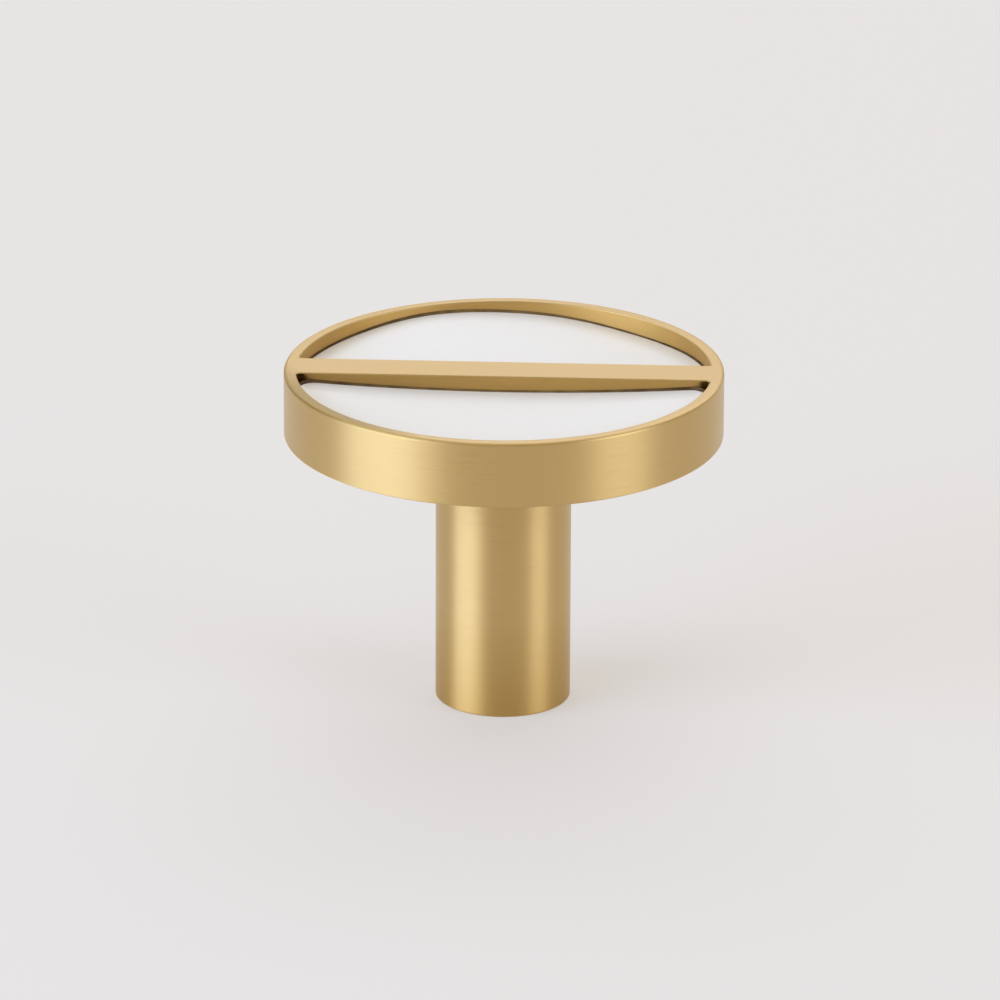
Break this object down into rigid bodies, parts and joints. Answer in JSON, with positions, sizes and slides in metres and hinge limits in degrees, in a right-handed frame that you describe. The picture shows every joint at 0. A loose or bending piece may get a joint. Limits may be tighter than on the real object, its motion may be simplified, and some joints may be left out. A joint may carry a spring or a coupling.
{
  "type": "cabinet knob",
  "caption": "Round brass cabinet knob on a plain cylindrical stem, with a flush crossbar between recessed white half-round fills and a tapped blind hole for the drawer screw.",
  "frame": {"origin": "centre of the lower end of the stem, which seats on the drawer front", "axes": "+Z along the stem from the drawer front to the face of the head, +X along the crossbar, +Y across the crossbar"},
  "size_m": [0.038, 0.038, 0.03],
  "materials": {
    "brass": "satin, brushed around the axis, clear lacquered",
    "white_fill": "smooth white resin enamel"
  },
  "bodies": {
    "root": {"head": "brass", "stem": "brass", "inlay_front": "white_fill", "inlay_back": "white_fill"}
  },
  "joints": []
}
